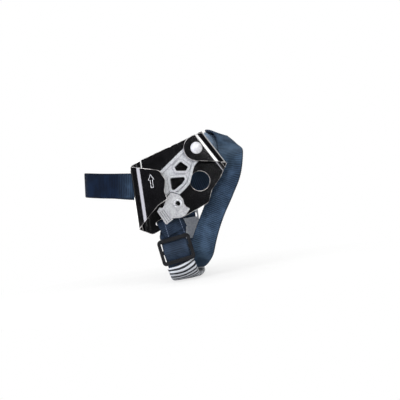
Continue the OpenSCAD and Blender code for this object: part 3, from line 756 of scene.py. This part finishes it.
soleRoute = [
    (belowEdge(-42, nearY + layer + 1.1), slopeAcross),
    (belowEdge(-30, nearY + layer + 0.7), slopeAcross),
    (belowEdge(-12, nearY + layer), slopeAcross),
    (belowEdge(-3, nearY + layer), slopeAcross),
    (belowEdge(3, nearY + layer - 0.5), slopeAcross),
    *[(onSlider(i * sliderStep / 4, sliderWave * side), sliderAcross) for i, side in sliderSides],
    ((19.3, sliderBack + 0.3, -60), (0.98, 0, 0.2)),
    ((20.2, sliderBack + 2.6, soleLow + 3.2), (0.98, 0, 0.15)),
    ((21.2, sliderBack + 7.5, soleLow + 0.6), (1, 0, 0.08)),
    ((22.5, sliderBack + 14.5, soleLow), (1, 0, 0)),
    ((25, midY, soleLow), (1, 0, 0)),
    ((25, bucklePlace[1] - 14, soleLow), (1, 0, 0)),
    ((25, bucklePlace[1] - 4, soleLow + 3), (1, 0, 0)),
    ((25, bucklePlace[1], soleLow + 12), (1, 0, 0)),
    ((25, bucklePlace[1], bucklePlace[2] - 14), (1, 0, 0)),
    ((25, bucklePlace[1], bucklePlace[2] + 1), (1, 0, 0)),
    ((25, bucklePlace[1] + 3.2, bucklePlace[2] + 8.5), (1, 0, 0)),
    ((25, bucklePlace[1] + 4.4, bucklePlace[2] + 15), (1, 0, 0)),
    ((25, bucklePlace[1] + 4.4, bucklePlace[2] + 26), (1, 0, 0)),
    ((25, bucklePlace[1] + 4.4, bucklePlace[2] + 50), (1, 0, 0)),
]


def slotRoute():  # from behind the slider up in front of the bar below the slot, over it and down
    turn = size["plate"] / 2 + size["skin"] + web / 2
    drop = size["slotSink"] - size["slotBar"]
    middle = size["channelOut"] - size["plate"] / 2
    stops = [belowEdge(7, sliderBack - layer - 0.2), belowEdge(3.5, sliderBack - layer - 1.6)]
    for i in range(-1, 6):
        angle = math.radians(max(min(45 * i, 180), 0))
        tail = size["slotTail"] if i < 0 or i > 4 else 0
        stops.append(belowEdge(drop - turn * math.sin(angle) + tail, middle - turn * math.cos(angle)))
    return [(stop, slopeAcross) for stop in stops]


def tabRoute():  # down inside the ankle strap, round the buckle's bar and up outside
    barY = bucklePlace[1] - web / 2 - size["skin"] - size["buckleBase"] / 2
    barZ = bucklePlace[2] + size["buckleLength"] / 2 - size["tieEnd"]
    turn = size["tieBar"] + size["skin"] + web / 2
    inner = [(farY - layer, z) for z in (14, 2, -8)]
    turned = [(barY + turn * math.cos(math.radians(angle)), barZ + turn * math.sin(math.radians(angle)))
              for angle in range(180, 361, 45)]
    outer = [(farY + layer + 0.4, -8), (farY + layer, 0), (farY + layer, 12)]
    return [((bucklePlace[0], y, z), (1, 0, 0)) for y, z in inner + turned + outer]


# A strap is a flat grid of weft rows that is laid along its route and closed round its section

curveSteps = 40  # fine steps between two stops of a route
rowsPerRib = 6


def smoothRoute(route, closed, first=0.0, last=None):  # an even curve through the stops
    stops = np.array([[*point, *across] for point, across in route], float)
    count = len(stops)
    last = last if last is not None else (count if closed else count - 1)
    rows = []
    for t in np.arange(first, last + 1e-9, 1 / curveSteps):
        i = min(int(t), count - 1 if closed else count - 2)
        f = t - i
        near = [(i + k) % count if closed else min(max(i + k, 0), count - 1) for k in (-1, 0, 1, 2)]
        p0, p1, p2, p3 = stops[near]
        rows.append(0.5 * (2 * p1 + (p2 - p0) * f + (2 * p0 - 5 * p1 + 4 * p2 - p3) * f ** 2
                           + (3 * p1 - p0 - 3 * p2 + p3) * f ** 3))
    return np.array(rows)


# Even rows along a route: how far along each is, its centre, its two directions and its stop
def layOut(route, closed, step, first=0.0, last=None):
    rows = smoothRoute(route, closed, first, last)
    travelled = np.concatenate([[0], np.cumsum(np.linalg.norm(np.diff(rows[:, :3], axis=0), axis=1))])
    count = max(int(round(travelled[-1] / step)), 2)
    even = np.linspace(0, travelled[-1], count + 1)
    stopAt = np.interp(even, travelled, first + np.arange(len(rows)) / curveSteps)
    rows = np.stack([np.interp(even, travelled, rows[:, k]) for k in range(6)], axis=1)
    centres, across = rows[:, :3], rows[:, 3:]
    if closed:
        ahead = np.roll(centres[:-1], -1, axis=0) - np.roll(centres[:-1], 1, axis=0)
        ahead = np.concatenate([ahead, ahead[:1]])
    else:
        ahead = np.gradient(centres, axis=0)
    ahead /= np.linalg.norm(ahead, axis=1)[:, None]
    out = np.cross(ahead, across)
    out /= np.linalg.norm(out, axis=1)[:, None]
    wide = np.cross(out, ahead)
    return even * mm, centres * mm, wide, out, stopAt


def strapSection(width, thick):
    halfW, halfT = width / 2, thick / 2
    edge = webbing["edge"] * thick
    front = [((halfW - edge) * k / 4, halfT) for k in range(-4, 5)]
    turn = [(halfW - edge + edge * math.sin(math.radians(angle)), halfT * math.cos(math.radians(angle)))
            for angle in (35, 70, 110, 145)]
    return np.array([(side * a, side * b) for side in (1, -1) for a, b in front + turn])


laid = {}  # the rows of each strap, for the seams


def weaveStrap(name, route, closed, finish, body, stands, slot, tones, first=0.0, last=None,
               width=webbing["width"], thick=webbing["thick"], rib=webbing["rib"],
               relief=webbing["relief"], bulge=0.0, sag=0.0, openEnds=False):
    laid[name] = layOut(route, closed, rib / mm / rowsPerRib, first, last)
    along, centres, wide, out, stopAt = laid[name]
    if closed:
        rib = along[-1] / round(along[-1] / rib)
    section = strapSection(width, thick)
    ring = np.concatenate([section, section[:1]])
    bpy.ops.mesh.primitive_grid_add(
        x_subdivisions=len(along) - 1, y_subdivisions=len(section), size=1, calc_uvs=True)
    strap = bpy.context.object
    strap.name = name
    mesh = strap.data
    flat = np.zeros(len(mesh.vertices) * 3)
    mesh.vertices.foreach_get("co", flat)
    flat = flat.reshape(-1, 3)
    row = np.rint((flat[:, 0] + 0.5) * (len(along) - 1)).astype(int)
    spot = np.rint((flat[:, 1] + 0.5) * len(section)).astype(int)
    middle = 1 - (2 * ring[:, 0] / width) ** 2  # 1 along the centre line, 0 at both edges
    crown = np.cos(2 * np.pi * (along[row] - sag * middle[spot]) / rib)
    a, b = ring[spot].T
    atSelvedge = np.abs(a) > width / 2 - webbing["selvedge"]
    b = b * (1 - relief / thick * (1 - crown)) + np.sign(b) * bulge * middle[spot]
    a = a + np.sign(a) * atSelvedge * relief * crown
    wander = np.array([noise.noise(Vector(c) / webbing["wave"]) for c in centres])[row] * webbing["wander"]
    spots = centres[row] + wide[row] * a[:, None] + out[row] * (b + wander)[:, None]
    mesh.vertices.foreach_set("co", spots.ravel())
    shade = mesh.attributes.new("tone", "FLOAT", "POINT")
    shade.data.foreach_set("value", np.interp(stopAt, *zip(*tones))[row])
    uv = mesh.uv_layers.active
    uv.name = "weave"
    corners = np.zeros(len(mesh.loops) * 2)
    uv.data.foreach_get("uv", corners)
    corners = corners.reshape(-1, 2)
    where = np.rint(corners[:, 0] * (len(along) - 1)).astype(int)
    column = np.rint(corners[:, 1] * len(section)).astype(int)
    evened = webbing["rib"] / rib if closed else 1  # a ring's ribs meet where its ends join
    metres = np.stack([(along[where] - sag * middle[column]) * evened, ring[column, 0]], axis=1)
    uv.data.foreach_set("uv", metres.ravel())
    select(strap)
    bpy.ops.object.mode_set(mode="EDIT")
    bpy.ops.mesh.select_all(action="SELECT")
    bpy.ops.mesh.remove_doubles(threshold=0.001 * mm)
    if not closed and not openEnds:
        bpy.ops.mesh.select_all(action="DESELECT")
        bpy.ops.mesh.select_non_manifold()
        bpy.ops.mesh.fill_holes(sides=0)
        bpy.ops.mesh.select_all(action="SELECT")
    bpy.ops.mesh.normals_make_consistent(inside=False)
    bpy.ops.object.mode_set(mode="OBJECT")
    bpy.ops.object.shade_smooth_by_angle(angle=math.radians(webbing["smooth"]))
    mesh.materials.append(finish)
    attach(strap, body)
    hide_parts(*stands)
    return strap


navy = wovenWebbing("navyWebbing", "#111821", "#384c61", "#475c73")
darkNavy = wovenWebbing("darkNavyWebbing", "#0c121b", "#263344", "#324155")

# Tones are pairs of a stop and a shade there: below 0 it is darker, with painted shade, and melted dark at
# the cut ends; above 0 it is lighter, with painted light
toneLook = {
    # painted shade behind the plate and on the heel, painted light beside the ear
    "ankle": [(0, -0.35), (2.6, -0.7), (4.2, -0.7), (5, 0), (6.2, 0.9), (7.6, 0.9), (8.6, 0), (12, 0),
              (16, -0.8), (17, -1.25), (19.3, -1.2), (20, -0.5)],
    # melted dark at its cut start, then painted shade and painted light by the fold and down the front
    "cross": [(0, -0.9), (0.1, 0), (4, 0), (5, -0.2), (5.8, 0.15), (6.3, 0), (6.8, -0.45), (8, -0.4),
              (9.5, -0.25), (11, -0.1), (12, 0)],
    # melted dark at both cut ends, a touch of painted light at the slider
    "sole": [(0, -0.9), (0.1, 0), (3, -0.1), (6, 0), (9, 0.04), (14, 0), (34.8, 0), (35, -0.9)],
    "short": [(0, -0.9), (0.1, 0)],  # a cut end, melted dark
}

ankleStrap = weaveStrap(
    "ankleWebbing", ankleRoute, True, navy, "frame", ["ankle_strap"], "navy_webbing", toneLook["ankle"])
crossStrap = weaveStrap(
    "crossWebbing", crossRoute, False, navy, "frame", ["cross_strap"], "navy_webbing", toneLook["cross"])
soleStrap = weaveStrap(
    "soleWebbing", soleRoute, False, darkNavy, "frame", ["sole_strap"], "dark_webbing", toneLook["sole"])
slotLoop = weaveStrap(
    "slotWebbing", slotRoute(), False, darkNavy, "frame", ["slot_loop"], "dark_webbing", toneLook["short"])
weaveStrap(
    "buckleTabWebbing", tabRoute(), False, darkNavy, "frame", ["buckle_tab"], "dark_webbing",
    toneLook["short"])
print("webbing woven")


sleeveLook = {
    "first": 15.2,  # stop of the sole route at its upper end
    "last": 21.0,
    "width": 22.6 * mm,
    "thick": 3.2 * mm,
    "relief": 0.16 * mm,
    "bulge": 0.8 * mm,
    "sag": 1.8 * mm,  # how far the stripes hang at the middle
    "tones": [(15.2, -0.1), (16, -0.35), (17, -0.65), (21, -0.7)],  # painted shade, darkest under the arch
}
sleeveWall = 0.9 * mm


def makeSleeve():
    sleeve = weaveStrap(
        "stripedSleeve", soleRoute, False, stripedSleeve(), "frame", ["wear_sleeve"], "striped_webbing",
        **sleeveLook, rib=stripeLook["stripe"], openEnds=True)
    wall = sleeve.modifiers.new("wall", "SOLIDIFY")
    wall.thickness = sleeveWall
    wall.offset = -1
    select(sleeve)
    bpy.ops.object.modifier_apply(modifier="wall")


makeSleeve()
print("sleeve made")


# CAD metalwork: the imported solids with small worn edges, pale on the plate with a painted highlight

turned = {
    "tube": turnedSteel("rolledTube", "#dcdde0", (0.25, 0.4)),
    "rivet": turnedSteel("domedRivet", "#c6c6c8", (0.45, 0.6), 0.35),
    "washer": turnedSteel("plainWasher", "#4a4b4f", (0.35, 0.5)),
    "bronze": turnedSteel("sinteredBronze", "#9c7a4a", (0.4, 0.55)),
    "wire": turnedSteel("springWire", "#8b9097", (0.25, 0.4)),
    "pressed": turnedSteel("pressedBuckleSteel", "#a3a7ab", (0.3, 0.45)),
}
camSteel = castSteel("tumbledCam", ("#929497", "#b9bbbd"), (0.38, 0.55), 1.3 * mm)
catchSteel = castSteel("tumbledCatch", ("#8d8e90", "#b3b4b5"), (0.36, 0.52), 0.7 * mm)
leverCoat = mouldedBlack("blackLeverCoat", "#15161a", (0.3, 0.4))

metalLook = {  # bevel is the width of the worn edges in millimetres, edge their own finish, pale with a painted highlight
    "frame_plate": {"finish": blackAnodised(), "edge": bareEdgeAndHighlight(), "bevel": 0.3},
    "cam": {"finish": camSteel, "bevel": 0.4, "clamp": True},
    "catch": {"finish": catchSteel, "bevel": 0.25, "clamp": True},
    "catch_pin": {"finish": turned["tube"], "bevel": 0.12},
    "buckle_pin": {"finish": turned["tube"], "bevel": 0.12},
    "cam_axle": {"finish": turned["rivet"]},
    "axle_washer_front": {"finish": turned["washer"], "bevel": 0.1},
    "axle_washer_rear": {"finish": turned["washer"], "bevel": 0.1},
    "cam_bush": {"finish": turned["bronze"], "bevel": 0.1},
    "cam_spring": {"finish": turned["wire"]},
    "catch_spring": {"finish": turned["wire"]},
    "buckle_spring": {"finish": turned["wire"]},
    "sole_slider": {"finish": mouldedBlack("mouldedSlider", "#05060a", (0.34, 0.5)), "bevel": 0.35},
    "buckle_frame": {"finish": turned["pressed"], "bevel": 0.3},
    "buckle_lever": {"finish": leverCoat, "bevel": 0.35},
    "tail_keeper": {"finish": mouldedBlack("keeperRubber", "#17181a", (0.5, 0.7)), "bevel": 0.25},
}
meshLook = {
    "weld": 0.002 * mm,  # joins the CAD's loose triangles
    "flat": 1,  # degrees: faces flatter than this to each other become one
    "sharp": 38,  # edges sharper than this are bevelled
    "round": 28,  # on pieces without a bevel, edges up to this are smooth
    "faceWeight": 80,
}


def dressMetal(name, finish, edge=None, bevel=0, clamp=False):
    node = nodes[name]
    node.data.materials.clear()
    node.data.materials.append(finish)
    node.data.materials.append(edge or finish)
    node.data.polygons.foreach_set("material_index", [0] * len(node.data.polygons))
    weld = node.modifiers.new("weld", "WELD")
    weld.merge_threshold = meshLook["weld"]
    select(node)
    if not bevel:
        bpy.ops.object.shade_smooth_by_angle(angle=math.radians(meshLook["round"]))
        return
    flatten = node.modifiers.new("flatten", "DECIMATE")
    flatten.decimate_type = "DISSOLVE"
    flatten.angle_limit = math.radians(meshLook["flat"])
    rounded = node.modifiers.new("edge", "BEVEL")
    rounded.width = bevel * mm
    rounded.segments = 2
    rounded.limit_method = "ANGLE"
    rounded.angle_limit = math.radians(meshLook["sharp"])
    rounded.use_clamp_overlap = clamp  # holds wide bevels apart on the castings' small faces
    if edge:
        rounded.material = 1
    bpy.ops.object.shade_smooth()
    even = node.modifiers.new("evenShade", "WEIGHTED_NORMAL")
    even.weight = meshLook["faceWeight"]


for name, look in metalLook.items():
    dressMetal(name, **look)
print("metal dressed")


# Marking on the flap: a plain outlined arrow that shows which way the rope runs

arrowLook = {
    "height": 10.8 * mm,
    "headShare": 0.43,  # of the height
    "head": 4.8 * mm,
    "shaft": 2.2 * mm,
    "line": 0.42 * mm,
    "lift": 0.03 * mm,
}


def makeArrow():
    tip, _ = placeOn([nodes["frame_plate"]], *imagePoints["arrowTip"])
    headLong = arrowLook["height"] * arrowLook["headShare"]
    shaftLong = arrowLook["height"] - headLong
    shaftTop = tip.z - headLong
    bpy.ops.mesh.primitive_plane_add(
        size=1, location=(tip.x, tip.y - arrowLook["lift"], shaftTop - shaftLong / 2),
        rotation=(math.radians(90), 0, 0))
    arrow = bpy.context.object
    arrow.name = "flapArrow"
    bpy.ops.object.mode_set(mode="EDIT")
    bpy.ops.transform.resize(value=(arrowLook["shaft"], 1, shaftLong))
    bpy.ops.object.mode_set(mode="OBJECT")
    bpy.ops.object.transform_apply()
    pickVerts(arrow, lambda at: at.z > shaftTop - shaftLong / 2)
    bpy.ops.object.mode_set(mode="EDIT")
    bpy.ops.mesh.extrude_region_move(TRANSFORM_OT_translate={"value": (0, 0, 0)})
    bpy.ops.transform.resize(
        value=(arrowLook["head"] / arrowLook["shaft"], 1, 1), center_override=(tip.x, tip.y, shaftTop))
    bpy.ops.mesh.extrude_region_move(TRANSFORM_OT_translate={"value": (0, 0, headLong)})
    bpy.ops.mesh.merge(type="CENTER")
    bpy.ops.mesh.select_all(action="SELECT")
    bpy.ops.mesh.dissolve_limited(angle_limit=math.radians(1))
    bpy.ops.mesh.inset(thickness=arrowLook["line"])
    bpy.ops.mesh.delete(type="FACE")
    bpy.ops.object.mode_set(mode="OBJECT")
    arrow.data.materials.append(printedGrey())
    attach(arrow, "frame")
    return arrow


# Stitching: one stitch, copied along each seam. A place is its point, the way along and the normal

stitchLook = {
    "length": 2.1 * mm,
    "thick": 0.6 * mm,
    "proud": 0.2 * mm,
    "lift": 0.05 * mm,
    "pitch": 3.0 * mm,
    "barPitch": 1.1 * mm,  # in the close rows that end a box
    "boxHalf": 7 * mm,  # half the width of a box of stitches
}


def sewPlaces(name, places):
    bpy.ops.mesh.primitive_uv_sphere_add(segments=8, ring_count=6, radius=1, location=(0, 0, 0))
    first = bpy.context.object
    first.name = name
    bpy.ops.object.mode_set(mode="EDIT")
    bpy.ops.transform.resize(
        value=(stitchLook["length"] / 2, stitchLook["thick"] / 2, stitchLook["proud"]))
    bpy.ops.object.mode_set(mode="OBJECT")
    bpy.ops.object.shade_smooth()
    sewn = []
    for point, ahead, normal in places:
        stitch = first if not sewn else first.copy()
        if sewn:
            stitch.data = first.data.copy()
            bpy.context.collection.objects.link(stitch)
        normal = normal.normalized()
        side = normal.cross(ahead).normalized()
        turn = Matrix((side.cross(normal).normalized(), side, normal)).transposed().to_4x4()
        stitch.matrix_world = Matrix.Translation(point) @ turn
        sewn.append(stitch)
    select(*sewn)
    bpy.ops.object.join()
    bpy.ops.object.transform_apply()
    seam = bpy.context.object
    seam.data.materials.append(thread)
    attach(seam, "frame")
    return seam


def seamInView(name, carriers, ends, count, across=False):  # between two points of the photograph
    start, end = (imagePoints[point] for point in ends)
    spots = []
    for k in range(count):
        x, y = (start[i] + (end[i] - start[i]) * k / (count - 1) for i in (0, 1))
        spots.append(placeOn(carriers, x, y))
    run = spots[-1][0] - spots[0][0]
    lift = stitchLook["lift"]
    return sewPlaces(name, [(point + normal * lift, run.cross(normal) if across else run, normal)
                            for point, normal in spots])


def onStrap(strap, at):  # the centre, the way across, the normal and the way along, so far along a strap
    along, centres, wide, out, _ = laid[strap]
    return [Vector([np.interp(at, along, rows[:, k]) for k in range(3)])
            for rows in (centres, wide, out, np.gradient(centres, axis=0))]


def boxOnStrap(strap, start, end):  # two rows between two stops of a route, closed by a bar at each end
    along, _, _, _, stopAt = laid[strap]
    half = stitchLook["boxHalf"]
    begin, finish = np.interp([start, end], stopAt, along)
    count = max(int((finish - begin) / stitchLook["pitch"]), 1)
    bar = int(2 * half / stitchLook["barPitch"])
    spots = [(at, across) for across in (-half, half) for at in np.linspace(begin, finish, count + 1)]
    spots += [(at, half * (2 * k / bar - 1)) for at in (begin, finish) for k in range(bar + 1)]
    places = []
    for at, across in spots:
        centre, wide, normal, ahead = onStrap(strap, at)
        places.append((centre + wide * across + normal * (webbing["thick"] / 2), ahead, normal))
    return places


# Thumb ribs pressed into the free end of the buckle lever

leverRibs = {
    "count": 4,
    "long": 13 * mm,
    "wide": 1.1 * mm,
    "proud": 0.45 * mm,
    "pitch": 2.4 * mm,
    "first": 3.2 * mm,
    "round": 0.2 * mm,
}


def makeLeverRibs():  # the lowest rib, copied upwards
    low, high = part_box("buckle_lever")
    height = low[2] + leverRibs["first"]
    bpy.ops.mesh.primitive_cylinder_add(
        vertices=24, radius=leverRibs["wide"] / 2, depth=leverRibs["long"],
        location=((low[0] + high[0]) / 2, high[1], height), rotation=(0, math.radians(90), 0))
    ribs = [bpy.context.object]
    bpy.ops.object.transform_apply()
    bpy.ops.object.mode_set(mode="EDIT")
    bpy.ops.transform.resize(
        value=(1, 2 * leverRibs["proud"] / leverRibs["wide"], 1), center_override=(0, high[1], height))
    bpy.ops.mesh.bevel(offset=leverRibs["round"], segments=2)
    bpy.ops.object.mode_set(mode="OBJECT")
    for k in range(1, leverRibs["count"]):
        rib = ribs[0].copy()
        rib.data = ribs[0].data.copy()
        rib.location.z = k * leverRibs["pitch"]
        bpy.context.collection.objects.link(rib)
        ribs.append(rib)
    select(*ribs)
    bpy.ops.object.join()
    row = bpy.context.object
    row.name = "leverRibs"
    bpy.ops.object.transform_apply()
    bpy.ops.object.shade_smooth_by_angle(angle=math.radians(40))
    row.data.materials.append(leverCoat)
    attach(row, "buckle_lever")


makeLeverRibs()
thread = sewingThread()
arrow = makeArrow()
straps = [ankleStrap, crossStrap, soleStrap, slotLoop]
rightSeam = seamInView("slotSeamRight", straps, ("seamTop", "seamFoot"), 6)
leftSeam = seamInView("slotSeamLeft", straps, ("leftSeamTop", "leftSeamFoot"), 6)
earTack = seamInView("earTack", straps, ("tackTop", "tackFoot"), 7, across=True)
sewPlaces("crossStartSeam", boxOnStrap("crossWebbing", 0.12, 0.9))
sewPlaces("tabSeam", boxOnStrap("buckleTabWebbing", 7.4, 9.6))
print("marking and stitches added")


# Where each thing shows in the picture, by the names of the photograph's points

measured = {  # places in the CAD, in millimetres
    "rivet": (axleX, -12.5, axleZ),
    "cordHole": (axleX - 20.5, -6.3, axleZ - 40.3),
    "plateHoleBottom": (axleX - 1, 6.5, axleZ - 25.3 - 7.75),
}


def shownPoints(pieces=None):  # where the vertices of all pieces, or of some, lie in the picture
    graph = bpy.context.evaluated_depsgraph_get()
    spots = []
    for piece in pieces or bpy.context.scene.objects:
        if piece.type != "MESH" or piece.hide_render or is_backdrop(piece):
            continue
        mesh = piece.evaluated_get(graph).to_mesh()
        flat = np.zeros(len(mesh.vertices) * 3)
        mesh.vertices.foreach_get("co", flat)
        spots.append(flat.reshape(-1, 3))
        piece.evaluated_get(graph).to_mesh_clear()
    spots = np.concatenate(spots)
    turn = np.array(camera.matrix_world.inverted())
    local = spots @ turn[:3, :3].T + turn[:3, 3]
    scale = frameSize * camera.data.lens / camera.data.sensor_width / -local[:, 2]
    return frameSize / 2 + local[:, 0] * scale, frameSize / 2 - local[:, 1] * scale


def outermost(piece, axis, furthest):  # where the vertex of a piece that shows furthest out lies
    spots = np.array(shownPoints([piece]))
    return spots[:, furthest(spots[axis])]


def comparePoints():
    xs, ys = shownPoints()
    shown = {
        "left": (xs.min(), None),
        "right": (xs.max(), None),
        "top": (None, ys.min()),
        "bottom": (None, ys.max()),
        **{name: inPhoto(Vector(place) * mm) for name, place in measured.items()},
        "padTip": outermost(nodes["catch"], 1, np.argmax),
        "catchToe": outermost(nodes["catch"], 0, np.argmax),
        "arrowTip": outermost(arrow, 1, np.argmin),
        "seamTop": outermost(rightSeam, 1, np.argmin),
        "seamFoot": outermost(rightSeam, 1, np.argmax),
        "leftSeamTop": outermost(leftSeam, 1, np.argmin),
        "leftSeamFoot": outermost(leftSeam, 1, np.argmax),
        "tackTop": outermost(earTack, 1, np.argmin),
        "tackFoot": outermost(earTack, 1, np.argmax),
    }


comparePoints()
